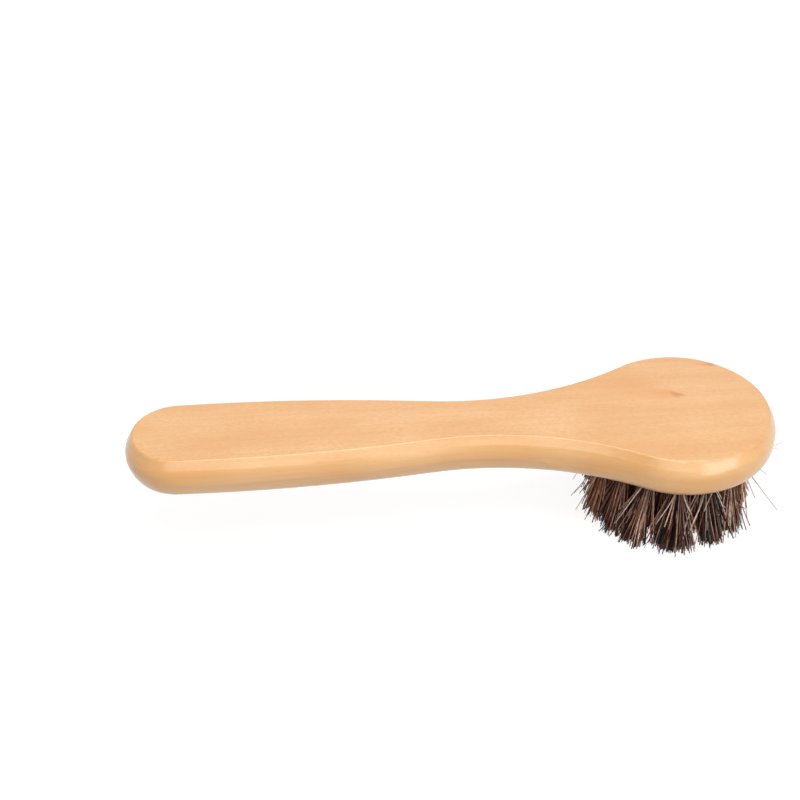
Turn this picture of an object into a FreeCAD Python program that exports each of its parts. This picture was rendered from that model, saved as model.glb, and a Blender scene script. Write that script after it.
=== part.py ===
# Shoe shine brush: a one-piece wooden handle with a round head, and horsehair tufts set in blind holes.
# Each tuft is folded over a flat metal anchor, which bites into the wood at the bottom of its hole.
# Lengths are millimetres and angles are degrees.
# The origin is the middle of the bristle field, in the plane of the bristle tips.
# +X points to the front of the head, the handle runs along -X, and +Z is up through the wood.
import FreeCAD, Part
import math
import os
import PartDesign
import Sketcher
from FreeCAD import Vector

SIZES = {
    # Outline of the wood, seen from above
    "overall_length": 165.0,
    "head_radius": 24.4,
    "head_offset": 1.2,
    "waist_setback": 53.5,
    "waist_half_width": 9.4,
    "side_radius": 400.0,
    "end_radius": 13.5,
    # Section of the wood
    "board_thickness": 11.5,
    "top_bevel_inset": 1.9,
    "top_bevel_drop": 3.5,
    "side_blend_radius": 6.0,
    "top_arris_radius": 0.8,
    "lower_edge_radius": 5.0,
    # Rounding of the handle's lower side, which runs out of the wood at the neck
    "grip_side_radius": 10.0,
    "grip_side_height": 7.0,
    "grip_corner_radius": 2.0,
    "grip_standoff": 0.1,
    "runout_setback": 37.0,
    "runout_radius": 15.0,
    "cut_overrun": 3.0,
    # Tufts
    "bristle_length": 18.0,
    "hole_diameter": 3.6,
    "hole_depth": 7.5,
    "seat_clearance": 0.05,
    # Rings of tufts round the centre tuft, as shares of the head's radius
    "inner_ring_share": 0.222,
    "inner_ring_count": 5,
    "middle_ring_share": 0.46,
    "middle_ring_count": 10,
    "outer_ring_share": 0.705,
    "outer_ring_count": 15,
    # The hair fans out: a tuft's radius at its tips, and the growth of a ring from its holes to its tips
    "tip_share": 0.12,
    "splay_share": 0.14,
    # Anchors
    "anchor_width": 4.5,
    "anchor_height": 1.6,
    "anchor_thickness": 0.35,
    "fold_thickness": 0.7,
}

# Sizes that follow from the ones above
NECK_RADIUS = (
    "(Sizes.waist_setback ^ 2 + Sizes.waist_half_width ^ 2 - Sizes.head_radius ^ 2)"
    " / (2 * (Sizes.head_radius - Sizes.waist_half_width))"
)
UNDERSIDE = "Sizes.bristle_length"
TOP_FACE = "Sizes.bristle_length + Sizes.board_thickness"
BEVEL_FOOT = f"{TOP_FACE} - Sizes.top_bevel_drop"
HANDLE_END = "Sizes.head_offset + Sizes.head_radius - Sizes.overall_length"
GRIP_SIDE_INSET = "Sizes.grip_side_radius - Sizes.grip_standoff"
GRIP_CORNER_RISE = "Sizes.grip_corner_radius - Sizes.grip_standoff"
HOLE_FLOOR = "Sizes.bristle_length + Sizes.hole_depth"
ANCHOR_TOP = f"{HOLE_FLOOR} - Sizes.fold_thickness"
ANCHOR_FOOT = f"{ANCHOR_TOP} - Sizes.anchor_height"
TIP_RADIUS = "Sizes.head_radius * Sizes.tip_share"
SPLAY = "(1 + Sizes.splay_share)"

# Each ring: radius at the holes and number of tufts
RINGS = {
    "inner": ("Sizes.head_radius * Sizes.inner_ring_share", "Sizes.inner_ring_count"),
    "middle": ("Sizes.head_radius * Sizes.middle_ring_share", "Sizes.middle_ring_count"),
    "outer": ("Sizes.head_radius * Sizes.outer_ring_share", "Sizes.outer_ring_count"),
}

# Two heights closer than this share of the wood's thickness are the same height
SAME_HEIGHT_SHARE = 1e-5

# How a sketch counts the points of a line or arc, and its own axis
START, END, CENTRE = range(1, 4)
X_AXIS = -1
ORIGIN_POINT = (X_AXIS, START)
UP = Vector(0, 0, 1)

doc = FreeCAD.newDocument("shoe_shine_brush")
sheet = doc.addObject("Spreadsheet::Sheet", "Sizes")
for row, (alias, number) in enumerate(SIZES.items(), start=1):
    sheet.set(f"A{row}", alias)
    sheet.set(f"B{row}", str(number))
    sheet.setAlias(f"B{row}", alias)
doc.recompute()


def value(expression):
    """The number that an expression on the sheet gives."""
    return float(sheet.evalExpression(expression))


def origin_feature(body, role):
    return next(feature for feature in body.Origin.OriginFeatures if feature.Role == role)


def new_sketch(body, name, role, height="0"):
    """A sketch on one of the body's own planes, raised by a height."""
    sketch = body.newObject("Sketcher::SketchObject", name)
    sketch.AttachmentSupport = (origin_feature(body, role), "")
    sketch.MapMode = "FlatFace"
    sketch.setExpression("AttachmentOffset.Base.z", height)
    return sketch


def bind(sketch, kind, *where, to):
    """A dimension of a sketch, bound to an expression on the sheet."""
    index = sketch.addConstraint(Sketcher.Constraint(kind, *where, value(to)))
    sketch.setExpression(f"Constraints[{index}]", to)


def tie(sketch, kind, *where):
    sketch.addConstraint(Sketcher.Constraint(kind, *where))


def arc(sketch, centre, first, last):
    """An arc about a centre, anticlockwise from its first point to its last."""
    circle = Part.Circle(centre, UP, (first - centre).Length)
    span = Part.ArcOfCircle(circle, circle.parameter(first), circle.parameter(last))
    return sketch.addGeometry(span)


def line(sketch, first, last):
    return sketch.addGeometry(Part.LineSegment(first, last))


def ring_circle(sketch, ring_radius, radius):
    """A circle at a distance from the origin along X."""
    centre = Vector(value(ring_radius), 0, 0)
    circle = sketch.addGeometry(Part.Circle(centre, UP, value(radius)))
    bind(sketch, "Radius", circle, to=radius)
    if centre.Length:
        tie(sketch, "PointOnObject", circle, CENTRE, X_AXIS)
        bind(sketch, "DistanceX", *ORIGIN_POINT, circle, CENTRE, to=ring_radius)
    else:
        tie(sketch, "Coincident", circle, CENTRE, *ORIGIN_POINT)


def edges_at(feature, height):
    """Names of a feature's edges that lie level at a height."""
    level = value(height)
    near = value("Sizes.board_thickness") * SAME_HEIGHT_SHARE
    names = []
    for index, edge in enumerate(feature.Shape.Edges, start=1):
        box = edge.BoundBox
        if abs(box.ZMin - level) < near and abs(box.ZMax - level) < near:
            names.append(f"Edge{index}")
    if not names:
        raise RuntimeError(f"{feature.Name} has no edge at {height}")
    return names


def dress(body, kind, name, base, height):
    """A fillet or chamfer on every edge of its base that lies at a height."""
    doc.recompute()
    feature = body.newObject(kind, name)
    feature.Base = (base, edges_at(base, height))
    return feature


def must_cut(before, after):
    doc.recompute()
    if not after.Shape.Volume < before.Shape.Volume:
        raise RuntimeError(f"{after.Name} cuts nothing")


# One side of the handle in plan is three tangent arcs: the end, the long side and the hollow of the neck
neck_radius = value(NECK_RADIUS)
side_radius = value("Sizes.side_radius")
end_radius = value("Sizes.end_radius")
head_centre = Vector(value("Sizes.head_offset"), 0, 0)
waist_x = value("Sizes.head_offset - Sizes.waist_setback")
neck_centre = Vector(waist_x, value("Sizes.waist_half_width") + neck_radius, 0)
end_centre = Vector(value(HANDLE_END) + end_radius, 0, 0)
handle_end = Vector(value(HANDLE_END), 0, 0)

# The long side's centre is set by its distances from the other two centres
apart = end_centre - neck_centre
to_neck = side_radius + neck_radius
to_end = side_radius - end_radius
along = (to_neck ** 2 - to_end ** 2 + apart.Length ** 2) / (2 * apart.Length)
across = math.sqrt(to_neck ** 2 - along ** 2)
apart.normalize()
side_centre = neck_centre + apart * along + UP.cross(apart) * across
neck_joint = neck_centre + (side_centre - neck_centre) * (neck_radius / to_neck)
end_joint = end_centre + (end_centre - side_centre) * (end_radius / to_end)


def handle_side(sketch, neck_point):
    """The three arcs of one side, with the neck ending at a point. Gives the end and neck arcs."""
    end = arc(sketch, end_centre, end_joint, handle_end)
    side = arc(sketch, side_centre, neck_joint, end_joint)
    neck = arc(sketch, neck_centre, neck_joint, neck_point)
    tie(sketch, "Tangent", end, START, side, END)
    tie(sketch, "Tangent", side, START, neck, START)
    tie(sketch, "PointOnObject", end, CENTRE, X_AXIS)
    tie(sketch, "PointOnObject", end, END, X_AXIS)
    bind(sketch, "Radius", end, to="Sizes.end_radius")
    bind(sketch, "Radius", side, to="Sizes.side_radius")
    bind(sketch, "Radius", neck, to=NECK_RADIUS)
    bind(sketch, "DistanceX", end, CENTRE, *ORIGIN_POINT, to=f"-({HANDLE_END}) - Sizes.end_radius")
    bind(sketch, "DistanceX", neck, CENTRE, *ORIGIN_POINT, to="Sizes.waist_setback - Sizes.head_offset")
    return end, neck


def half_outline(sketch):
    """Half of the wood's outline, closed along the X axis."""
    head_radius = value("Sizes.head_radius")
    head_front = head_centre + Vector(head_radius, 0, 0)
    head_joint = head_centre + (neck_centre - head_centre) * (head_radius / (head_radius + neck_radius))
    end, neck = handle_side(sketch, head_joint)
    head = arc(sketch, head_centre, head_front, head_joint)
    middle = line(sketch, handle_end, head_front)
    tie(sketch, "PointOnObject", head, CENTRE, X_AXIS)
    tie(sketch, "PointOnObject", head, START, X_AXIS)
    tie(sketch, "Tangent", head, END, neck, END)
    tie(sketch, "Coincident", middle, START, end, END)
    tie(sketch, "Coincident", middle, END, head, START)
    bind(sketch, "Radius", head, to="Sizes.head_radius")
    bind(sketch, "DistanceX", *ORIGIN_POINT, head, CENTRE, to="Sizes.head_offset")


def grip_path(sketch):
    """The way that the rounding cutter takes along one side, until it swings out of the wood at the neck."""
    runout_x = -value("Sizes.runout_setback")
    runout_rise = math.sqrt(neck_radius ** 2 - (runout_x - neck_centre.x) ** 2)
    runout_start = Vector(runout_x, neck_centre.y - runout_rise, 0)
    runout_radius = value("Sizes.runout_radius")
    runout_centre = runout_start + (neck_centre - runout_start) * (runout_radius / neck_radius)
    neck = handle_side(sketch, runout_start)[-1]
    runout = arc(sketch, runout_centre, runout_start, runout_centre + Vector(runout_radius, 0, 0))
    tie(sketch, "Tangent", neck, END, runout, START)
    tie(sketch, "Horizontal", runout, CENTRE, runout, END)
    bind(sketch, "DistanceY", *ORIGIN_POINT, neck, CENTRE, to=f"Sizes.waist_half_width + {NECK_RADIUS}")
    bind(sketch, "DistanceX", neck, END, *ORIGIN_POINT, to="Sizes.runout_setback")
    bind(sketch, "Radius", runout, to="Sizes.runout_radius")


def grip_cutter(sketch):
    """What the cutter takes off the handle's lower side, drawn at the end of the handle.

    A broad arc rounds the side and a small one turns it under. Both stand off a little from the faces
    that they meet.
    """
    standoff = value("Sizes.grip_standoff")
    overrun = value("Sizes.cut_overrun")
    underside = value(UNDERSIDE)
    broad_radius = value("Sizes.grip_side_radius")
    corner_radius = value("Sizes.grip_corner_radius")
    side = Vector(handle_end.x + value(GRIP_SIDE_INSET), underside + value("Sizes.grip_side_height"), 0)
    corner_y = underside + value(GRIP_CORNER_RISE)
    between = broad_radius - corner_radius
    corner = Vector(side.x - math.sqrt(between ** 2 - (side.y - corner_y) ** 2), corner_y, 0)
    on_side = Vector(handle_end.x - standoff, side.y, 0)
    joint = side + (corner - side) * (broad_radius / between)
    on_underside = Vector(corner.x, underside - standoff, 0)
    outer_top = Vector(handle_end.x - overrun, side.y, 0)
    outer_foot = Vector(outer_top.x, underside - overrun, 0)
    inner_foot = Vector(corner.x, outer_foot.y, 0)
    broad = arc(sketch, side, on_side, joint)
    small = arc(sketch, corner, joint, on_underside)
    top = line(sketch, on_side, outer_top)
    outer = line(sketch, outer_top, outer_foot)
    foot = line(sketch, outer_foot, inner_foot)
    inner = line(sketch, inner_foot, on_underside)
    tie(sketch, "Tangent", broad, END, small, START)
    tie(sketch, "Coincident", broad, START, top, START)
    tie(sketch, "Coincident", top, END, outer, START)
    tie(sketch, "Coincident", outer, END, foot, START)
    tie(sketch, "Coincident", foot, END, inner, START)
    tie(sketch, "Coincident", inner, END, small, END)
    tie(sketch, "Horizontal", top)
    tie(sketch, "Vertical", outer)
    tie(sketch, "Horizontal", foot)
    tie(sketch, "Vertical", inner)
    tie(sketch, "Horizontal", broad, CENTRE, broad, START)
    tie(sketch, "Vertical", small, CENTRE, small, END)
    bind(sketch, "Radius", broad, to="Sizes.grip_side_radius")
    bind(sketch, "Radius", small, to="Sizes.grip_corner_radius")
    bind(sketch, "DistanceX", broad, CENTRE, *ORIGIN_POINT, to=f"-({HANDLE_END}) - ({GRIP_SIDE_INSET})")
    bind(sketch, "DistanceY", *ORIGIN_POINT, broad, CENTRE, to=f"{UNDERSIDE} + Sizes.grip_side_height")
    bind(sketch, "DistanceY", *ORIGIN_POINT, small, CENTRE, to=f"{UNDERSIDE} + {GRIP_CORNER_RISE}")
    bind(sketch, "DistanceX", outer, END, *ORIGIN_POINT, to=f"-({HANDLE_END}) + Sizes.cut_overrun")
    bind(sketch, "DistanceY", *ORIGIN_POINT, outer, END, to=f"{UNDERSIDE} - Sizes.cut_overrun")


def drill(body, name, ring_radius):
    """A blind hole in the underside, with the narrow seat that its anchor bites into the wood."""
    hole = body.newObject("PartDesign::SubtractiveCylinder", f"{name}_hole")
    hole.setExpression("Radius", "Sizes.hole_diameter / 2")
    hole.setExpression("Height", "Sizes.hole_depth + Sizes.cut_overrun")
    hole.setExpression("Placement.Base.x", ring_radius)
    hole.setExpression("Placement.Base.z", f"{UNDERSIDE} - Sizes.cut_overrun")
    seat = body.newObject("PartDesign::SubtractiveBox", f"{name}_anchor_seat")
    anchor_block(seat, ring_radius, "Sizes.seat_clearance")
    return hole, seat


def anchor_block(block, ring_radius, margin):
    """Sets a block to an anchor's size and place, larger all round by a margin."""
    block.setExpression("Length", f"Sizes.anchor_thickness + 2 * {margin}")
    block.setExpression("Width", f"Sizes.anchor_width + 2 * {margin}")
    block.setExpression("Height", f"Sizes.anchor_height + 2 * {margin}")
    block.setExpression("Placement.Base.x", f"{ring_radius} - Sizes.anchor_thickness / 2 - {margin}")
    block.setExpression("Placement.Base.y", f"-Sizes.anchor_width / 2 - {margin}")
    block.setExpression("Placement.Base.z", f"{ANCHOR_FOOT} - {margin}")


def wooden_handle():
    body = doc.addObject("PartDesign::Body", "wooden_handle")
    mirror_plane = (origin_feature(body, "XZ_Plane"), [""])

    outline = new_sketch(body, "half_outline", "XY_Plane", UNDERSIDE)
    half_outline(outline)
    half_board = body.newObject("PartDesign::Pad", "half_board")
    half_board.Profile = outline
    half_board.setExpression("Length", "Sizes.board_thickness")
    board = body.newObject("PartDesign::Mirrored", "board")
    board.Originals = [half_board]
    board.MirrorPlane = mirror_plane
    body.Tip = board

    # The side leans out below the flat top and blends into the upright wall
    bevel = dress(body, "PartDesign::Chamfer", "top_bevel", board, TOP_FACE)
    bevel.ChamferType = "Two distances"
    bevel.setExpression("Size", "Sizes.top_bevel_drop")
    bevel.setExpression("Size2", "Sizes.top_bevel_inset")
    blend = dress(body, "PartDesign::Fillet", "side_blend", bevel, BEVEL_FOOT)
    blend.setExpression("Radius", "Sizes.side_blend_radius")
    arris = dress(body, "PartDesign::Fillet", "top_arris", blend, TOP_FACE)
    arris.setExpression("Radius", "Sizes.top_arris_radius")
    lower_edge = dress(body, "PartDesign::Fillet", "lower_edge", arris, UNDERSIDE)
    lower_edge.setExpression("Radius", "Sizes.lower_edge_radius")
    must_cut(board, lower_edge)

    path = new_sketch(body, "grip_path", "XY_Plane", UNDERSIDE)
    grip_path(path)
    cutter = new_sketch(body, "grip_cutter", "XZ_Plane")
    grip_cutter(cutter)
    doc.recompute()
    near_side = body.newObject("PartDesign::SubtractivePipe", "grip_rounding")
    near_side.Profile = cutter
    near_side.Spine = (path, [])
    far_side = body.newObject("PartDesign::Mirrored", "grip_rounding_both_sides")
    far_side.Originals = [near_side]
    far_side.MirrorPlane = mirror_plane
    body.Tip = far_side
    must_cut(lower_edge, near_side)
    must_cut(near_side, far_side)

    last = drill(body, "centre", "0")[-1]
    must_cut(far_side, last)
    for ring, (ring_radius, count) in RINGS.items():
        hole, seat = drill(body, ring, ring_radius)
        pattern = body.newObject("PartDesign::PolarPattern", f"{ring}_ring_holes")
        pattern.Originals = [hole, seat]
        pattern.Axis = (origin_feature(body, "Z_Axis"), [""])
        pattern.setExpression("Occurrences", count)
        body.Tip = pattern
        must_cut(last, pattern)
        last = pattern
    return body


def tuft(label, ring_radius):
    """One bundle of hair: a plug in its hole, a slit for its anchor and a free end that spreads out."""
    body = doc.addObject("PartDesign::Body", label)
    mouth = new_sketch(body, f"{label}_mouth", "XY_Plane", UNDERSIDE)
    ring_circle(mouth, ring_radius, "Sizes.hole_diameter / 2 - Sizes.seat_clearance")
    tips = new_sketch(body, f"{label}_tips", "XY_Plane")
    ring_circle(tips, f"{ring_radius} * {SPLAY}", TIP_RADIUS)
    plug = body.newObject("PartDesign::Pad", f"{label}_plug")
    plug.Profile = mouth
    plug.setExpression("Length", "Sizes.hole_depth - Sizes.seat_clearance")
    free_end = body.newObject("PartDesign::AdditiveLoft", f"{label}_free_end")
    free_end.Profile = mouth
    free_end.Sections = [tips]
    free_end.Ruled = True
    slit = body.newObject("PartDesign::SubtractiveBox", f"{label}_slit")
    anchor_block(slit, ring_radius, "Sizes.seat_clearance")
    must_cut(free_end, slit)
    return body


def anchor(label, ring_radius):
    """A flat piece of metal across the middle of its tuft, longer than the hole is wide."""
    block = doc.addObject("Part::Box", label)
    anchor_block(block, ring_radius, "0")
    return block


def ring_of(first, labels, count):
    """The first piece of a ring and linked copies of it, spaced evenly round the Z axis."""
    pieces = [first]
    for step, label in enumerate(labels[1:], start=1):
        copy = doc.addObject("App::Link", label)
        copy.Label = label
        copy.LinkedObject = first
        copy.LinkTransform = True
        copy.setExpression("Placement.Rotation.Angle", f"{step} * 360 deg / {count}")
        pieces.append(copy)
    return pieces


subparts = [wooden_handle(), tuft("tuft_centre", "0")]
anchors = [anchor("anchor_centre", "0")]
for ring, (ring_radius, count) in RINGS.items():
    places = [f"{ring}_{number:02d}" for number in range(1, int(value(count)) + 1)]
    tuft_labels = [f"tuft_{place}" for place in places]
    anchor_labels = [f"anchor_{place}" for place in places]
    subparts += ring_of(tuft(tuft_labels[0], ring_radius), tuft_labels, count)
    anchors += ring_of(anchor(anchor_labels[0], ring_radius), anchor_labels, count)

tuft_anchors = doc.addObject("Part::Compound", "tuft_anchors")
tuft_anchors.Links = anchors
subparts.append(tuft_anchors)
doc.recompute()

for item in doc.Objects:
    if "Invalid" in item.State or "Error" in item.State:
        raise RuntimeError(f"{item.Name} failed: {item.State}")
for subpart in subparts:
    if subpart.Shape.isNull() or not subpart.Shape.isValid():
        raise RuntimeError(f"{subpart.Label} has no valid shape")

os.makedirs("parts", exist_ok=True)
for subpart in subparts:
    subpart.Shape.exportStep(f"parts/{subpart.Label}.step")
    print(subpart.Label, len(subpart.Shape.Solids), round(subpart.Shape.Volume))
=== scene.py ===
"""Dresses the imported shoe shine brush: lacquered wood, horsehair tufts, wire anchors and a plain studio."""

import math

import bmesh
import bpy
import numpy as np
from bpy.props import FloatProperty, FloatVectorProperty, IntProperty, PointerProperty
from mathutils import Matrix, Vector


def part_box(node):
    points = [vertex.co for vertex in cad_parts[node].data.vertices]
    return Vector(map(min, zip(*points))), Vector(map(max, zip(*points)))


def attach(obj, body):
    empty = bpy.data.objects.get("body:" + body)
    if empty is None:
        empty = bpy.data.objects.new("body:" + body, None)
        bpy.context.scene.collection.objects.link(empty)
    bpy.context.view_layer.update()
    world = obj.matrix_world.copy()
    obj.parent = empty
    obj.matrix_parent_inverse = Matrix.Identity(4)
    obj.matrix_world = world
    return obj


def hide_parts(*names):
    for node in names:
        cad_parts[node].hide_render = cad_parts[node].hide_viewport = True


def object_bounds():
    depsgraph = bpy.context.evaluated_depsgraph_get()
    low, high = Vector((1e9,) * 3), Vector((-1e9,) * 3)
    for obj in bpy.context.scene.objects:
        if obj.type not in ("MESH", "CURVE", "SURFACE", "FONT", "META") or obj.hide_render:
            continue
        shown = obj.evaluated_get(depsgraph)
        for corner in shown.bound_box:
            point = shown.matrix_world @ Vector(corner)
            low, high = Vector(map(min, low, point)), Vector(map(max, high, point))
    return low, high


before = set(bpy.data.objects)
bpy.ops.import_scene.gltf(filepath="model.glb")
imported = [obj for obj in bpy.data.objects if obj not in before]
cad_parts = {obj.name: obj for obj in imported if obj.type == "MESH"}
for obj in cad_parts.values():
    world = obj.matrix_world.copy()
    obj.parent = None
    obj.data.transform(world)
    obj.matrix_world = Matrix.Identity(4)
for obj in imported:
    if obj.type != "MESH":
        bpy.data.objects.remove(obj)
CAD_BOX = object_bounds()

bl_info = {
    "name": "Shoe Shine Brush",
    "version": (1, 0, 0),
    "blender": (4, 5, 0),
    "location": "View3D > Sidebar > Brush",
    "description": "Finishes a wooden shoe shine brush and sets its horsehair tufts",
    "category": "Object",
}

MM = 0.001

# Heights: the wood's underside, where the hair leaves its holes, its flat top, and the floor under the tips
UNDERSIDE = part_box("wooden_handle")[0].z
TOP_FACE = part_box("wooden_handle")[1].z
TIP_PLANE = CAD_BOX[0].z
TUFTS = sorted(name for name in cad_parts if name.startswith("tuft_") and name != "tuft_anchors")


def linear(sheet_colour):
    """A linear colour from an sRGB hex value."""
    shares = [int(sheet_colour[i:i + 2], 16) / 255 for i in (1, 3, 5)]
    return tuple(c / 12.92 if c <= 0.04045 else ((c + 0.055) / 1.055) ** 2.4 for c in shares)


def add_node(tree, kind, inputs=None, **settings):
    """Adds a shader node. An input takes a constant, or another node's output to link."""
    node = tree.nodes.new(kind)
    for name, setting in settings.items():
        setattr(node, name, setting)
    for name, source in (inputs or {}).items():
        if isinstance(source, bpy.types.NodeSocket):
            tree.links.new(source, node.inputs[name])
        else:
            node.inputs[name].default_value = source
    return node


def set_stops(ramp, stops):
    """Sets a colour ramp to (position, sRGB hex) stops."""
    while len(ramp.elements) < len(stops):
        ramp.elements.new(1.0)
    for element, (position, colour) in zip(ramp.elements, stops):
        element.position = position
        element.color = (*linear(colour), 1.0)


def new_material(name):
    """A material with an empty tree apart from its output. Gives the material, its tree and the output."""
    material = bpy.data.materials.new(name)
    material.use_nodes = True
    tree = material.node_tree
    tree.nodes.clear()
    return material, tree, add_node(tree, "ShaderNodeOutputMaterial")


def direction(azimuth, elevation):
    """A line of sight from the brush: a turn to the right of its front, and an angle above the floor."""
    level = math.cos(elevation)
    return Vector((math.sin(azimuth) * level, -math.cos(azimuth) * level, math.sin(elevation)))


class LacqueredWood(bpy.types.PropertyGroup):
    """The pale wood of the handle and its clear finish."""

    pale: FloatVectorProperty(
        name="Pale wood", description="Colour between the grain lines",
        subtype="COLOR", size=3, default=linear("#f7c68c"),
    )
    grain: FloatVectorProperty(
        name="Grain", description="Colour of the grain lines",
        subtype="COLOR", size=3, default=linear("#dd994a"),
    )
    knot: FloatVectorProperty(
        name="Knot", description="Colour of the small knot and of the spot in the streak",
        subtype="COLOR", size=3, default=linear("#c67a30"),
    )
    halo: FloatVectorProperty(
        name="Halo", description="Colour of the wood round the knot and of the streak",
        subtype="COLOR", size=3, default=linear("#e2913f"),
    )
    # The wood turns darker and more orange towards the back edge of the board
    back_tone: FloatVectorProperty(
        name="Heart side", description="Colour of the side of the board that grew nearer the tree's heart",
        subtype="COLOR", size=3, default=linear("#e5a76b"),
    )
    grain_spacing: FloatProperty(
        name="Grain spacing", description="Distance between grain lines across the handle",
        unit="LENGTH", default=1.0 * MM,
    )
    grain_run: FloatProperty(
        name="Grain run", description="Length of a grain line along the handle",
        unit="LENGTH", default=30 * MM,
    )
    band_width: FloatProperty(
        name="Band width", description="Width of a growth band",
        unit="LENGTH", default=7 * MM,
    )
    fleck_length: FloatProperty(
        name="Fleck length", description="Length of a pore fleck",
        unit="LENGTH", default=1.2 * MM,
    )
    fleck_width: FloatProperty(
        name="Fleck width", description="Width of a pore fleck",
        unit="LENGTH", default=0.4 * MM,
    )
    blotch_width: FloatProperty(
        name="Blotch width", description="Width of a slow change of tone",
        unit="LENGTH", default=14 * MM,
    )
    roughness: FloatProperty(
        name="Roughness", description="Roughness of the sanded wood under its lacquer",
        subtype="FACTOR", min=0, max=1, default=0.45,
    )
    lacquer: FloatProperty(
        name="Lacquer", description="Weight of the clear coat",
        subtype="FACTOR", min=0, max=1, default=0.95,
    )
    lacquer_roughness: FloatProperty(
        name="Lacquer roughness", description="Roughness of the clear coat",
        subtype="FACTOR", min=0, max=1, default=0.25,
    )


class Horsehair(bpy.types.PropertyGroup):
    """The hair of the tufts."""

    hairs: IntProperty(
        name="Hairs", description="Number of hairs in a tuft", min=1, default=360,
    )
    # A real hair is about half as thick, and is drawn thicker to show as a line of its own in a picture
    thickness: FloatProperty(
        name="Thickness", description="Diameter of a hair where it leaves the wood",
        unit="LENGTH", default=0.35 * MM,
    )
    tip_share: FloatProperty(
        name="Tip share", description="Diameter of a hair's tip as a share of its root",
        subtype="FACTOR", min=0, max=1, default=0.72,
    )
    rooting: FloatProperty(
        name="Rooting", description="How deep in its hole a hair starts",
        unit="LENGTH", default=1.5 * MM,
    )
    lean: FloatProperty(
        name="Lean", description="How far the tips of a whole tuft lean from their place",
        unit="LENGTH", default=0.5 * MM,
    )
    locks: IntProperty(
        name="Locks", description="Number of pointed locks in a tuft", min=1, default=18,
    )
    lock_lean: FloatProperty(
        name="Lock lean", description="How far a lock leans, as a share of the tuft's radius",
        min=0, default=0.4,
    )
    clumping: FloatProperty(
        name="Clumping", description="How strongly hairs lean together towards their tips",
        subtype="FACTOR", min=0, max=1, default=0.65,
    )
    fan: FloatProperty(
        name="Fan", description="Spread of the hair tips along the ring, as a share of the solid tuft's",
        min=0, default=1.35,
    )
    press: FloatProperty(
        name="Press", description="Spread of the hair tips across the ring, as a share of the solid tuft's",
        min=0, default=0.7,
    )
    flare: FloatProperty(
        name="Flare", description="How far single hairs stand out from the tuft, on average",
        unit="LENGTH", default=0.7 * MM,
    )
    flare_limit: FloatProperty(
        name="Flare limit", description="How far any hair stands out from the tuft at most",
        unit="LENGTH", default=3.0 * MM,
    )
    crossing: FloatProperty(
        name="Crossing", description="Share of hairs that cross their neighbours",
        subtype="FACTOR", min=0, max=1, default=0.12,
    )
    short: FloatProperty(
        name="Short", description="Share of hairs that end well above the others",
        subtype="FACTOR", min=0, max=1, default=0.14,
    )
    strays: FloatProperty(
        name="Strays", description="Share of short pale hairs that lie far across the tuft",
        subtype="FACTOR", min=0, max=1, default=0.012,
    )
    stray_reach: FloatProperty(
        name="Stray reach", description="How far a stray's tip lies to the side",
        unit="LENGTH", default=5 * MM,
    )
    lock_trim: FloatProperty(
        name="Lock trim", description="How far the cut ends of the locks differ in height",
        unit="LENGTH", default=0.8 * MM,
    )
    hair_trim: FloatProperty(
        name="Hair trim", description="How far the cut ends in a lock differ in height",
        unit="LENGTH", default=0.5 * MM,
    )
    waviness: FloatProperty(
        name="Waviness", description="How far a hair wanders from its line",
        unit="LENGTH", default=0.25 * MM,
    )
    seed: IntProperty(
        name="Seed", description="Start of the random numbers", min=0, default=7,
    )


class Studio(bpy.types.PropertyGroup):
    """The floor, the light and the camera."""

    floor: FloatVectorProperty(
        name="Floor", description="Colour of the floor in the light that it throws back",
        subtype="COLOR", size=3, default=linear("#8c8b8a"),
    )
    floor_width: FloatProperty(
        name="Floor width", description="Side of the square floor", unit="LENGTH", default=4.0,
    )
    glow: FloatProperty(
        name="Glow", description="White added to the floor where it is seen, so that only its shadows show",
        subtype="FACTOR", min=0, max=1, default=0.87,
    )
    sky: FloatProperty(
        name="Surroundings", description="Light from the white surroundings", min=0, default=0.36,
    )
    camera_elevation: FloatProperty(
        name="Camera elevation", description="Angle of the camera above the floor",
        subtype="ANGLE", default=math.radians(36.2),
    )
    camera_azimuth: FloatProperty(
        name="Camera azimuth", description="Turn of the camera round the brush",
        subtype="ANGLE", default=math.radians(-4.82),
    )
    camera_distance: FloatProperty(
        name="Camera distance", description="Distance from the camera to its aim",
        unit="LENGTH", default=456.1 * MM,
    )
    camera_aim: FloatVectorProperty(
        name="Camera aim", description="Point at the middle of the picture",
        subtype="XYZ", unit="LENGTH", size=3, default=(-68.3 * MM, 24.58 * MM, 18.08 * MM),
    )
    lens: FloatProperty(
        name="Lens", description="Focal length in millimetres", min=1, default=76.89,
    )


class BRUSH_OT_finish_wood(bpy.types.Operator):
    """Gives the one-piece handle its lacquered wood"""

    bl_idname = "brush.finish_wood"
    bl_label = "Finish Wood"

    def execute(self, context):
        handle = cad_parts["wooden_handle"].data
        handle.materials.clear()
        handle.materials.append(lacquered_wood(context.scene.brush_wood))
        return {"FINISHED"}


# Marks on the flat top: centre, length, width, turn from the handle's line, softness, strength and colour.
# They are the knot's halo, its orange flare and the two strokes of its heart, and a streak near the far
# edge with its dark spot.
KNOT_MARKS = (
    ((-4.2 * MM, 7.2 * MM), 13 * MM, 5 * MM, math.radians(-25), 0.9, 0.4, "halo"),
    ((-0.7 * MM, 6.3 * MM), 6 * MM, 2.2 * MM, math.radians(-20), 0.7, 0.45, "halo"),
    ((0.9 * MM, 5.5 * MM), 3.0 * MM, 1.2 * MM, math.radians(-64), 0.5, 0.6, "knot"),
    ((2.2 * MM, 5.4 * MM), 2.6 * MM, 1.0 * MM, math.radians(-29), 0.5, 0.6, "knot"),
    ((12.1 * MM, 18.1 * MM), 5.4 * MM, 1.6 * MM, math.radians(-13), 0.6, 0.6, "halo"),
    ((13.1 * MM, 18.0 * MM), 1.8 * MM, 1.2 * MM, math.radians(-20), 0.6, 0.7, "knot"),
)
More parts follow.
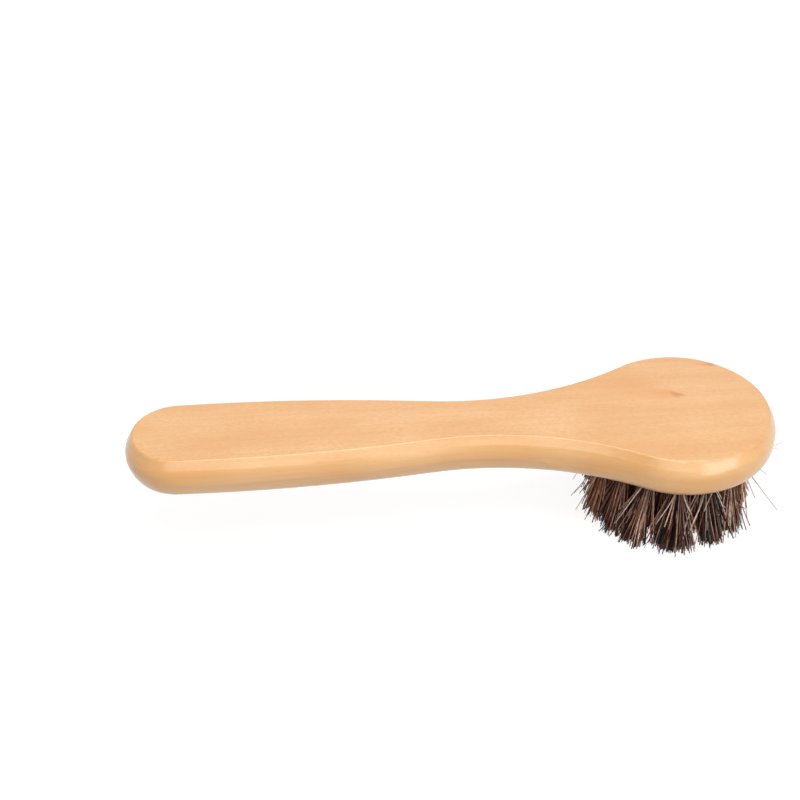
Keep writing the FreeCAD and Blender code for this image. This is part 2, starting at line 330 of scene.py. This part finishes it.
MARK_RAGGEDNESS = 0.8

# How far growth bands run, as a share of a grain line's run, and slow blotches, as a share of their width
BAND_RUN_SHARE = 4
BLOTCH_RUN_SHARE = 2
# How much of the flat faces' pores shows on the sides
SIDE_PORE_SHARE = 0.6
# The gloss of the wood itself under its lacquer, and how far its roughness differs between grain lines
BARE_GLOSS = 0.1
ROUGHNESS_SPREAD = 0.1
# How much of the grain's depth the lacquer leaves open
GRAIN_DEPTH = 0.1 * MM
OPEN_GRAIN_SHARE = 0.03
# A hard lacquer bends light a little more than most, and shines more
LACQUER_IOR = 1.65


def lacquered_wood(wood):
    """Clear-lacquered close-grained wood.

    The eye sees a warm honey colour with faint straight grain along the handle, short pore flecks, slow
    changes of tone, one small knot with an orange halo, and a soft gloss that brightens the edges.
    """
    material, tree, output = new_material("lacquered_close_grained_wood")
    coordinates = add_node(tree, "ShaderNodeTexCoord")
    place = coordinates.outputs["Object"]

    def stretched(length, width, detail):
        """Noise drawn out along the handle, from 0 to 1."""
        mapping = add_node(tree, "ShaderNodeMapping", {
            "Vector": place, "Scale": (1 / length, 1 / width, 1 / width),
        })
        noise = add_node(tree, "ShaderNodeTexNoise", {
            "Vector": mapping.outputs["Vector"], "Scale": 1.0, "Detail": detail,
        })
        return noise.outputs["Fac"]

    def mark(centre, length, width, turn, softness, strength):
        """Strength at the middle of a mark on the flat top, falling to 0 across its ragged edge."""
        mapping = add_node(tree, "ShaderNodeMapping", {
            "Vector": place,
            "Location": (*centre, TOP_FACE),
            "Rotation": (0, 0, turn),
            "Scale": (length / 2, width / 2, length / 2),
        }, vector_type="TEXTURE")
        distance = add_node(tree, "ShaderNodeVectorMath", {
            0: mapping.outputs["Vector"],
        }, operation="LENGTH")
        ragged = add_node(tree, "ShaderNodeMath", {
            0: flecks, 1: MARK_RAGGEDNESS, 2: distance.outputs["Value"],
        }, operation="MULTIPLY_ADD")
        edge = 1 + MARK_RAGGEDNESS / 2
        share = add_node(tree, "ShaderNodeMapRange", {
            "Value": ragged.outputs[0], "From Min": edge - softness, "From Max": edge + softness,
            "To Min": strength, "To Max": 0.0,
        })
        return share.outputs["Result"]

    bands = stretched(wood.grain_run * BAND_RUN_SHARE, wood.band_width, detail=2.0)
    lines = stretched(wood.grain_run, wood.grain_spacing, detail=3.0)
    flecks = stretched(wood.fleck_length, wood.fleck_width, detail=2.0)
    blotches = stretched(wood.blotch_width * BLOTCH_RUN_SHARE, wood.blotch_width, detail=1.0)

    across = add_node(tree, "ShaderNodeSeparateXYZ", {"Vector": place}).outputs["Y"]

    # Pores are cut open along the flat faces, and show less on the sides
    facing = add_node(tree, "ShaderNodeSeparateXYZ", {"Vector": coordinates.outputs["Normal"]})
    open_share = add_node(tree, "ShaderNodeMapRange", {
        "Value": facing.outputs["Z"], "To Min": SIDE_PORE_SHARE, "To Max": 1.0,
    })
    pores = add_node(tree, "ShaderNodeMath", {
        0: flecks, 1: open_share.outputs["Result"],
    }, operation="MULTIPLY")

    # Darker wood over the pale ground: a pattern, where it starts to show and is full, strength and colour
    layers = []
    for pattern, start, full, strength, tint in (
        # Darker, more orange wood from the front edge of the board to its back edge
        (across, CAD_BOX[0].y, CAD_BOX[1].y, 0.6, wood.back_tone),
        (bands, 0.35, 0.65, 0.3, wood.grain),
        (blotches, 0.4, 0.65, 0.42, wood.grain),
        (lines, 0.4, 0.65, 0.18, wood.grain),
        (pores.outputs[0], 0.4, 0.7, 0.46, wood.grain),
    ):
        share = add_node(tree, "ShaderNodeMapRange", {
            "Value": pattern, "From Min": start, "From Max": full, "To Min": 0.0, "To Max": strength,
        })
        layers.append((share.outputs["Result"], tint))
    layers += [(mark(*shape), getattr(wood, tint)) for *shape, tint in KNOT_MARKS]
    colour = (*wood.pale, 1)
    for share, tint in layers:
        mix = add_node(tree, "ShaderNodeMix", {0: share, 6: colour, 7: (*tint, 1)}, data_type="RGBA")
        colour = mix.outputs[2]

    roughness = add_node(tree, "ShaderNodeMapRange", {
        "Value": lines,
        "To Min": wood.roughness - ROUGHNESS_SPREAD,
        "To Max": wood.roughness + ROUGHNESS_SPREAD,
    })
    height = add_node(tree, "ShaderNodeMath", {0: lines, 1: flecks}, operation="ADD")
    relief = add_node(tree, "ShaderNodeBump", {
        "Height": height.outputs[0], "Strength": OPEN_GRAIN_SHARE, "Distance": GRAIN_DEPTH,
    })
    shader = add_node(tree, "ShaderNodeBsdfPrincipled", {
        "Base Color": colour,
        "Roughness": roughness.outputs["Result"],
        "Specular IOR Level": BARE_GLOSS,
        "Coat Weight": wood.lacquer,
        "Coat Roughness": wood.lacquer_roughness,
        "Coat IOR": LACQUER_IOR,
        "Normal": relief.outputs["Normal"],
    })
    tree.links.new(shader.outputs["BSDF"], output.inputs["Surface"])
    return material


class BRUSH_OT_finish_anchors(bpy.types.Operator):
    """Gives the anchors in the holes their drawn steel"""

    bl_idname = "brush.finish_anchors"
    bl_label = "Finish Anchors"

    def execute(self, context):
        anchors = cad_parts["tuft_anchors"].data
        anchors.materials.clear()
        anchors.materials.append(drawn_steel())
        return {"FINISHED"}


STEEL = "#b9bbbd"
SCRATCH_WIDTH = 0.3 * MM


def drawn_steel():
    """Flat drawn steel wire: the eye sees grey metal with fine scratches that spread its gloss."""
    material, tree, output = new_material("drawn_steel_wire")
    place = add_node(tree, "ShaderNodeTexCoord").outputs["Object"]
    scratches = add_node(tree, "ShaderNodeTexNoise", {
        "Vector": place, "Scale": 1 / SCRATCH_WIDTH, "Detail": 3.0,
    })
    roughness = add_node(tree, "ShaderNodeMapRange", {
        "Value": scratches.outputs["Fac"], "To Min": 0.25, "To Max": 0.5,
    })
    shader = add_node(tree, "ShaderNodeBsdfPrincipled", {
        "Base Color": (*linear(STEEL), 1), "Metallic": 1.0, "Roughness": roughness.outputs["Result"],
    })
    tree.links.new(shader.outputs["BSDF"], output.inputs["Surface"])
    return material


class BRUSH_OT_set_tufts(bpy.types.Operator):
    """Sets a bundle of separate hairs in the place of each solid tuft"""

    bl_idname = "brush.set_tufts"
    bl_label = "Set Tufts"

    def execute(self, context):
        hair = context.scene.brush_hair
        material = horsehair()
        for number, node in enumerate(TUFTS):
            piece = hair_tuft(node, hair, np.random.default_rng(hair.seed + number))
            piece.data.materials.append(material)
            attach(piece, "root")
            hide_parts(node)
        return {"FINISHED"}


# How near to a height a point of a solid's ring lies
RING_TOLERANCE = 0.01 * MM


def tuft_end(node, height):
    """Centre and radius of a tuft's solid at one of its two flat rings."""
    points = np.array([vertex.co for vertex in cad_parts[node].data.vertices])
    ring = points[np.abs(points[:, 2] - height) < RING_TOLERANCE, :2]
    low, high = ring.min(axis=0), ring.max(axis=0)
    return (low + high) / 2, (high - low).mean() / 2


# A hair is a spline led by this many points, drawn as a tube of rings with this many corners each
HAIR_POINTS = 4
HAIR_ORDER = 3
RINGS_PER_SPAN = 2
HAIR_RINGS = (HAIR_POINTS - 1) * RINGS_PER_SPAN
RING_CORNERS = 4

# How much of a hole's radius the hairs fill, and how a hair's way to the side grows with its length
FILLED_SHARE = 0.75
BEND_POWER = 1.2
# How much of the clumping a hair takes part in, and the scatter of the tips as a share of the tuft's radius
PULL_SHARES = (0.4, 1)
TIP_SCATTER_SHARE = 0.12
# How thick hairs are, as shares of the full thickness
THICKNESS_SHARES = (0.6, 1.3)
# How much of the free length short hairs and strays lack
SHORT_CUT_SHARES = (0.05, 0.3)
STRAY_CUT_SHARES = (0.15, 0.5)

# A hair's tone runs from 0 for the darkest to 1 for the palest, and its tint from 0 for warm to 1 for grey
LOCK_TONE_SPREAD = 0.1
STRAY_TONES = (0.85, 1)
BACK_TINT = 0.35
TINT_SPREAD = 0.2
# A loose hair is paler the thicker it is
LOOSE_TONE = 0.8
LOOSE_TONE_GAIN = 0.15
LOOSE_TINT = 0.8

# Hairs that stand clear of the rest: the share of a full hair's thickness, and points in millimetres from
# the root to the tip
LOOSE_HAIRS = {
    "tuft_outer_08": (
        (0.7, ((-16.9, 3.0, 19.5), (-18.5, 0.5, 15.5), (-22.0, -4.0, 11.4), (-26.2, -4.0, 5.6))),
        (0.5, ((-16.9, 3.2, 19.5), (-18.3, 0.0, 15.5), (-21.8, -4.5, 11.2), (-25.6, -4.6, 6.8))),
    ),
    "tuft_outer_09": (
        (0.9, ((-16.9, -3.6, 19.5), (-19.0, -4.5, 14.5), (-22.3, -6.0, 8.8), (-25.1, -6.0, 2.5))),
    ),
    "tuft_outer_11": (
        (1.3, ((-8.6, -15.0, 19.5), (-11.4, -16.2, 16.8), (-14.1, -15.8, 10.9), (-16.7, -14.8, 4.6))),
    ),
    "tuft_outer_12": (
        (1.1, ((-1.8, -17.2, 19.5), (-3.4, -19.6, 16.2), (-5.5, -20.2, 12.4), (-7.6, -20.4, 8.4))),
        (1.3, ((-1.8, -17.2, 19.5), (-1.0, -19.9, 16.3), (-0.1, -20.6, 14.0), (1.1, -21.1, 11.7))),
    ),
    "tuft_outer_13": (
        (1.3, ((5.3, -16.4, 19.5), (4.2, -19.6, 15.6), (2.4, -21.1, 11.2), (0.6, -22.2, 6.3))),
        (1.0, ((5.3, -16.4, 19.5), (-0.1, -21.1, 10.4), (-0.3, -22.0, 7.0), (-0.8, -22.7, 3.6))),
    ),
    "tuft_outer_15": (
        (0.65, ((15.8, -7.0, 19.5), (18.0, -7.2, 15.0), (21.5, -7.3, 9.0), (28.0, -7.8, 0.1))),
        (0.65, ((15.8, -7.0, 19.5), (17.4, -7.0, 14.5), (19.2, -7.0, 9.9), (21.8, -7.0, 4.0))),
        (0.55, ((16.0, -6.6, 19.5), (18.2, -6.5, 14.0), (20.8, -6.5, 9.8), (22.7, -6.5, 7.3))),
        (0.6, ((15.6, -7.4, 19.5), (17.0, -7.8, 14.0), (18.4, -8.0, 10.1), (19.7, -8.0, 7.0))),
    ),
    "tuft_outer_01": (
        (0.7, ((17.3, 0.0, 19.5), (20.5, 0.0, 15.2), (26.0, 0.0, 14.4), (29.3, 0.0, 16.4))),
        (0.7, ((17.3, -0.4, 19.5), (20.5, -0.5, 15.5), (25.0, -0.5, 15.0), (28.6, -0.5, 14.6))),
        (0.65, ((17.3, -0.6, 19.5), (19.8, -1.6, 14.5), (23.0, -2.8, 10.2), (25.3, -3.0, 8.5))),
    ),
}

# The tufts in front: how far each leans along the ring and outward in millimetres, its fan, the middle of
# its hairs' tints, and how much paler in tone they are than those of the tufts behind
FRONT_TUFTS = {
    "tuft_outer_08": (-1.0, -3.0, 1.3, -0.3, 0.28),
    "tuft_outer_09": (-0.5, -1.0, 1.3, -0.3, 0.32),
    "tuft_outer_10": (-0.5, 0.0, 1.3, 0.4, -0.03),
    "tuft_outer_11": (-1.8, 0.0, 1.2, 0.4, -0.13),
    "tuft_outer_12": (-0.3, 0.0, 1.8, 0.55, -0.1),
    "tuft_outer_13": (0.8, 0.0, 1.2, 0.8, -0.06),
    "tuft_outer_14": (0.0, -2.0, 1.1, 0.3, 0.25),
    "tuft_outer_15": (0.8, -2.4, 1.2, -0.2, 0.2),
    "tuft_outer_01": (0.0, -1.7, 1.2, -0.2, 0.2),
}


def in_disc(chance, count):
    """Points spread evenly over a disc of radius 1."""
    turn = chance.uniform(0, 2 * math.pi, count)
    reach = np.sqrt(chance.uniform(0, 1, count))
    return np.stack([reach * np.cos(turn), reach * np.sin(turn)], axis=1)


def hair_lines(node, hair, chance):
    """Points along every hair of a tuft from its root to its cut tip, with its thickness, tone and tint."""
    along, out, fan, grey, pale = FRONT_TUFTS.get(node, (0.0, 0.0, hair.fan, BACK_TINT, 0.0))
    free_length = UNDERSIDE - TIP_PLANE
    mouth, mouth_radius = tuft_end(node, UNDERSIDE)
    tips, tips_radius = tuft_end(node, TIP_PLANE)
    outward = tips / max(np.linalg.norm(tips), MM)
    beside = np.array([-outward[1], outward[0]])

    # Hairs lean together in pointed locks, which differ in direction, length and colour
    spot = in_disc(chance, hair.hairs)
    locks = in_disc(chance, hair.locks)
    lock = np.argmin(((spot[:, None] - locks[None]) ** 2).sum(axis=2), axis=1)
    ends = locks + chance.normal(0, hair.lock_lean, locks.shape)
    pull = hair.clumping * chance.uniform(*PULL_SHARES, hair.hairs)[:, None]
    tip_spot = spot + (ends[lock] - spot) * pull + chance.normal(0, TIP_SCATTER_SHARE, spot.shape)

    # A tuft fans out along its ring, where it has room, and some hairs cross the others that way
    cross = (chance.uniform(0, 1, hair.hairs) < hair.crossing) * chance.normal(0, 1, hair.hairs)
    tip_spot += ((fan - 1) * (tip_spot @ beside) + cross)[:, None] * beside
    tip_spot += ((hair.press - 1) * (tip_spot @ outward))[:, None] * outward
    root = mouth + FILLED_SHARE * mouth_radius * spot
    lean = (along * beside + out * outward) * MM + chance.normal(0, hair.lean, 2)
    tip = tips + tips_radius * tip_spot + lean
    cut = chance.normal(0, hair.lock_trim, hair.locks)[lock] + chance.normal(0, hair.hair_trim, hair.hairs)
    cut = np.abs(cut)
    tip += np.minimum(chance.exponential(hair.flare, (hair.hairs, 1)), hair.flare_limit) * outward
    short = chance.uniform(0, 1, hair.hairs) < hair.short
    cut[short] += chance.uniform(*SHORT_CUT_SHARES, short.sum()) * free_length

    tone = pale + chance.uniform(0, 1, hair.hairs) + chance.normal(0, LOCK_TONE_SPREAD, hair.locks)[lock]
    thickness = hair.thickness * chance.uniform(*THICKNESS_SHARES, hair.hairs)
    tint = grey + chance.normal(0, TINT_SPREAD, hair.hairs)
    tint += chance.normal(0, TINT_SPREAD, hair.locks)[lock]
    stray = chance.uniform(0, 1, hair.hairs) < hair.strays
    tip[stray] += chance.normal(0, hair.stray_reach, (stray.sum(), 1)) * beside
    cut[stray] += chance.uniform(*STRAY_CUT_SHARES, stray.sum()) * free_length
    tone[stray] = chance.uniform(*STRAY_TONES, stray.sum())

    root_height = UNDERSIDE + hair.rooting
    lines = np.zeros((hair.hairs, HAIR_POINTS, 3))
    for step in range(HAIR_POINTS):
        share = step / (HAIR_POINTS - 1)
        lines[:, step, :2] = root + (tip - root) * share ** BEND_POWER
        lines[:, step, :2] += chance.normal(0, hair.waviness, root.shape) * share
        lines[:, step, 2] = root_height + (TIP_PLANE + cut - root_height) * share
    for share, points in LOOSE_HAIRS.get(node, ()):
        lines = np.append(lines, [np.array(points) * MM], axis=0)
        thickness = np.append(thickness, share * hair.thickness)
        tone = np.append(tone, LOOSE_TONE + LOOSE_TONE_GAIN * share)
        tint = np.append(tint, LOOSE_TINT)
    return lines, thickness, np.clip(tone, 0, 1), np.clip(tint, 0, 1)


def hair_tubes(node, lines, thickness, tip_share):
    """A mesh of tapered tubes along the hairs, open at both ends."""
    curve = bpy.data.curves.new(node, "CURVE")
    curve.dimensions = "3D"
    # With a depth of 1, the radius of a point is the tube's own
    curve.bevel_depth = 1.0
    curve.bevel_resolution = 0
    taper = np.linspace(1, tip_share, HAIR_POINTS)
    for line, breadth in zip(lines, thickness):
        spline = curve.splines.new("NURBS")
        spline.points.add(HAIR_POINTS - 1)
        spline.points.foreach_set("co", np.append(line, np.ones((HAIR_POINTS, 1)), axis=1).ravel())
        spline.points.foreach_set("radius", taper * breadth / 2)
        spline.order_u = HAIR_ORDER
        spline.use_endpoint_u = True
        spline.resolution_u = RINGS_PER_SPAN
    drawn = bpy.data.objects.new(node, curve)
    mesh = bpy.data.meshes.new_from_object(drawn)
    bpy.data.objects.remove(drawn)
    bpy.data.curves.remove(curve)
    return mesh


def hair_tuft(node, hair, chance):
    """One tuft of closed hairs. Its points carry their hair's tone and tint, and their place along it."""
    lines, thickness, tone, tint = hair_lines(node, hair, chance)
    mesh = hair_tubes(node, lines, thickness, hair.tip_share)
    tube = HAIR_RINGS * RING_CORNERS
    carried = {
        "tone": np.repeat(tone, tube),
        "tint": np.repeat(tint, tube),
        "along": np.tile(np.repeat(np.linspace(0, 1, HAIR_RINGS), RING_CORNERS), len(lines)),
    }
    for name, values in carried.items():
        mesh.attributes.new(name, "FLOAT", "POINT").data.foreach_set("value", values.astype(np.float32))

    shape = bmesh.new()
    shape.from_mesh(mesh)
    rims = [edge for edge in shape.edges if edge.is_boundary]
    bmesh.ops.holes_fill(shape, edges=rims, sides=RING_CORNERS)
    bmesh.ops.recalc_face_normals(shape, faces=shape.faces)
    shape.to_mesh(mesh)
    shape.free()
    map_hairs(mesh, len(lines))
    mesh.name = node.replace("tuft", "hair")
    piece = bpy.data.objects.new(mesh.name, mesh)
    bpy.context.scene.collection.objects.link(piece)
    return piece


# In a hair's square of the flat map: the border left free, and half the height of the diamond at an end
BORDER_SHARE = 0.15
DIAMOND_SHARE = 0.1


def map_hairs(mesh, count):
    """A flat map with a square for each hair: its tube folded in two, with diamonds for its ends."""
    corners = np.empty(len(mesh.loops), dtype=np.int32)
    mesh.loops.foreach_get("vertex_index", corners)
    number, corners = np.divmod(corners, HAIR_RINGS * RING_CORNERS)
    ring, corner = np.divmod(corners, RING_CORNERS)
    faces = ring.reshape(-1, RING_CORNERS)
    is_end = np.repeat((faces == faces[:, :1]).all(axis=1), RING_CORNERS)
    across = np.array([0.0, 0.5, 1.0, 0.5])[corner]
    down = ring / (HAIR_RINGS - 1) + is_end * np.array([0.0, DIAMOND_SHARE, 0.0, -DIAMOND_SHARE])[corner]

    side = math.ceil(math.sqrt(count))
    row, column = np.divmod(number, side)
    inside = BORDER_SHARE + (1 - 2 * BORDER_SHARE) * np.stack([across, down], axis=1)
    places = np.stack([column, row], axis=1) + inside
    layer = mesh.uv_layers.active
    layer.name = "OFBake"
    layer.data.foreach_set("uv", (places / side).astype(np.float32).ravel())


# Colours from the darkest hairs to the palest ones, of red-brown hair and of grey-blond hair
WARM_HAIR = ((0.0, "#0e0604"), (0.25, "#2f150e"), (0.6, "#84452f"), (0.85, "#bc7855"), (1.0, "#dcae8a"))
GREY_HAIR = ((0.0, "#0e0604"), (0.25, "#2d1b17"), (0.6, "#786359"), (0.85, "#b4a29a"), (1.0, "#dfd4cb"))
# Length of the painted lit and shaded stretches along a hair
LIT_STRETCH_LENGTH = 1.2 * MM


def horsehair():
    """Mixed undyed horsehair.

    The eye sees near-black and dark brown hairs with red-brown, tan and grey-blond ones among them, darker
    where they stand close at the roots, with a thin satin line of light along each hair.
    """
    material, tree, output = new_material("mixed_horsehair")
    tone, tint, along = (
        add_node(tree, "ShaderNodeAttribute", attribute_name=name).outputs["Fac"]
        for name in ("tone", "tint", "along")
    )
    warm, grey = (add_node(tree, "ShaderNodeValToRGB", {"Fac": tone}) for _ in range(2))
    set_stops(warm.color_ramp, WARM_HAIR)
    set_stops(grey.color_ramp, GREY_HAIR)
    colour = add_node(tree, "ShaderNodeMix", {
        0: tint, 6: warm.outputs["Color"], 7: grey.outputs["Color"],
    }, data_type="RGBA")
    # The roots stand close together and shade each other
    shade = add_node(tree, "ShaderNodeMapRange", {
        "Value": along, "From Min": 0.1, "From Max": 0.6, "To Min": 0.35, "To Max": 1.0,
    })
    # Painted light and shade: stretches of each hair are brightened or darkened, at other places on each
    # hair, as though turned towards the light or away from it
    place = add_node(tree, "ShaderNodeTexCoord").outputs["Object"]
    lit_stretch_noise = add_node(tree, "ShaderNodeTexNoise", {
        "Vector": place, "W": tone, "Scale": 1 / LIT_STRETCH_LENGTH, "Detail": 1.0,
    }, noise_dimensions="4D")
    painted_light_and_shade = add_node(tree, "ShaderNodeMapRange", {
        "Value": lit_stretch_noise.outputs["Fac"], "From Min": 0.3, "From Max": 0.7, "To Min": 0.6, "To Max": 1.4,
    })
    light = add_node(tree, "ShaderNodeMath", {
        0: shade.outputs["Result"], 1: painted_light_and_shade.outputs["Result"],
    }, operation="MULTIPLY")
    shaded = add_node(tree, "ShaderNodeVectorMath", {
        0: colour.outputs[2], "Scale": light.outputs[0],
    }, operation="SCALE")
    shader = add_node(tree, "ShaderNodeBsdfPrincipled", {
        "Base Color": shaded.outputs["Vector"], "Roughness": 0.45, "IOR": 1.55, "Specular IOR Level": 0.12,
    })
    tree.links.new(shader.outputs["BSDF"], output.inputs["Surface"])
    return material


# Each lamp: turn to the right of the front, angle above the floor, width and height in metres, and watts.
# A lamp overhead lights the flat top and its rounded edge, and one behind gives the top its sheen. A low
# bright one at the right makes the highlight under that edge, and a wide one fills the front.
LAMPS = {
    "top_lamp": (math.radians(0), math.radians(80), 0.75, 0.75, 8.0),
    "sheen_lamp": (math.radians(175), math.radians(36), 1.0, 0.6, 1.0),
    "window_lamp": (math.radians(37), math.radians(12), 0.85, 0.5, 5.0),
    "front_lamp": (math.radians(-14), math.radians(27), 0.9, 0.5, 2.8),
}
LAMP_DISTANCE = 1.2


class BRUSH_OT_set_stage(bpy.types.Operator):
    """Sets up the pale floor, the soft light and the camera"""

    bl_idname = "brush.set_stage"
    bl_label = "Set Stage"

    def execute(self, context):
        studio = context.scene.brush_studio
        context.scene.view_settings.view_transform = "Standard"
        pale_floor(studio)
        white_surroundings(studio)
        for name, setting in LAMPS.items():
            soft_lamp(name, *setting)
        aim_camera(studio)
        return {"FINISHED"}


def shown_rays(tree):
    """1 for rays that show the white background: from the camera, or off or through a surface."""
    rays = add_node(tree, "ShaderNodeLightPath")
    shown = rays.outputs["Is Camera Ray"]
    for kind in ("Is Glossy Ray", "Is Transmission Ray"):
        either = add_node(tree, "ShaderNodeMath", {0: shown, 1: rays.outputs[kind]}, operation="MAXIMUM")
        shown = either.outputs[0]
    return shown


def pale_floor(studio):
    """A wide matt floor under the tips, white but for the soft shadow, and open from below."""
    shape = bmesh.new()
    bmesh.ops.create_grid(shape, x_segments=1, y_segments=1, size=studio.floor_width / 2)
    bmesh.ops.translate(shape, verts=shape.verts, vec=(0, 0, TIP_PLANE))
    mesh = bpy.data.meshes.new("floor")
    shape.to_mesh(mesh)
    shape.free()
    material, tree, output = new_material("pale_matt_floor")
    matt = add_node(tree, "ShaderNodeBsdfDiffuse", {"Color": (*studio.floor, 1)})
    strength = add_node(tree, "ShaderNodeMath", {0: shown_rays(tree), 1: studio.glow}, operation="MULTIPLY")
    glow = add_node(tree, "ShaderNodeEmission", {"Color": (1, 1, 1, 1), "Strength": strength.outputs[0]})
    lit = add_node(tree, "ShaderNodeAddShader", {0: matt.outputs["BSDF"], 1: glow.outputs["Emission"]})
    below = add_node(tree, "ShaderNodeNewGeometry").outputs["Backfacing"]
    clear = add_node(tree, "ShaderNodeBsdfTransparent")
    surface = add_node(tree, "ShaderNodeMixShader", {0: below, 1: lit.outputs[0], 2: clear.outputs["BSDF"]})
    tree.links.new(surface.outputs[0], output.inputs["Surface"])
    mesh.materials.append(material)
    floor = bpy.data.objects.new("floor", mesh)
    bpy.context.scene.collection.objects.link(floor)


def white_surroundings(studio):
    """A world that lights the brush at a plain level and shows white behind it."""
    world = bpy.data.worlds.new("white_surroundings")
    world.use_nodes = True
    tree = world.node_tree
    tree.nodes.clear()
    strength = add_node(tree, "ShaderNodeMapRange", {
        "Value": shown_rays(tree), "To Min": studio.sky, "To Max": 1.0,
    })
    light = add_node(tree, "ShaderNodeBackground", {
        "Color": (1, 1, 1, 1), "Strength": strength.outputs["Result"],
    })
    output = add_node(tree, "ShaderNodeOutputWorld")
    tree.links.new(light.outputs["Background"], output.inputs["Surface"])
    bpy.context.scene.world = world


def soft_lamp(name, azimuth, elevation, width, height, power):
    """A lamp that faces the head of the brush."""
    light = bpy.data.lights.new(name, "AREA")
    light.shape = "RECTANGLE"
    light.size = width
    light.size_y = height
    light.energy = power
    lamp = bpy.data.objects.new(name, light)
    lamp.location = LAMP_DISTANCE * direction(azimuth, elevation)
    lamp.rotation_euler = (-lamp.location).to_track_quat("-Z", "Y").to_euler()
    lamp.visible_camera = False
    bpy.context.scene.collection.objects.link(lamp)


# Nothing nearer to the camera than this is drawn
CAMERA_CLEARANCE = 10 * MM


def aim_camera(studio):
    """A camera that stands off its aim by its angles and distance."""
    azimuth, elevation = studio.camera_azimuth, studio.camera_elevation
    data = bpy.data.cameras.new("camera")
    data.lens = studio.lens
    data.clip_start = CAMERA_CLEARANCE
    camera = bpy.data.objects.new("camera", data)
    camera.location = Vector(studio.camera_aim) + studio.camera_distance * direction(azimuth, elevation)
    camera.rotation_euler = (math.pi / 2 - elevation, 0, azimuth)
    bpy.context.scene.collection.objects.link(camera)
    bpy.context.scene.camera = camera


OPERATORS = (BRUSH_OT_finish_wood, BRUSH_OT_finish_anchors, BRUSH_OT_set_tufts, BRUSH_OT_set_stage)


class BRUSH_PT_panel(bpy.types.Panel):
    """Lists the steps that dress the brush."""

    bl_label = "Shoe Shine Brush"
    bl_idname = "BRUSH_PT_panel"
    bl_space_type = "VIEW_3D"
    bl_region_type = "UI"
    bl_category = "Brush"

    def draw(self, context):
        for operator in OPERATORS:
            self.layout.operator(operator.bl_idname)
        for settings in (context.scene.brush_wood, context.scene.brush_hair, context.scene.brush_studio):
            box = self.layout.box()
            for name in settings.__annotations__:
                box.prop(settings, name)


CLASSES = (LacqueredWood, Horsehair, Studio, *OPERATORS, BRUSH_PT_panel)


def register():
    for item in CLASSES:
        bpy.utils.register_class(item)
    bpy.types.Scene.brush_wood = PointerProperty(type=LacqueredWood)
    bpy.types.Scene.brush_hair = PointerProperty(type=Horsehair)
    bpy.types.Scene.brush_studio = PointerProperty(type=Studio)


def unregister():
    del bpy.types.Scene.brush_studio
    del bpy.types.Scene.brush_hair
    del bpy.types.Scene.brush_wood
    for item in reversed(CLASSES):
        bpy.utils.unregister_class(item)


def main():
    register()
    bpy.ops.brush.finish_wood()
    bpy.ops.brush.finish_anchors()
    bpy.ops.brush.set_tufts()
    bpy.ops.brush.set_stage()


if __name__ == "__main__":
    main()
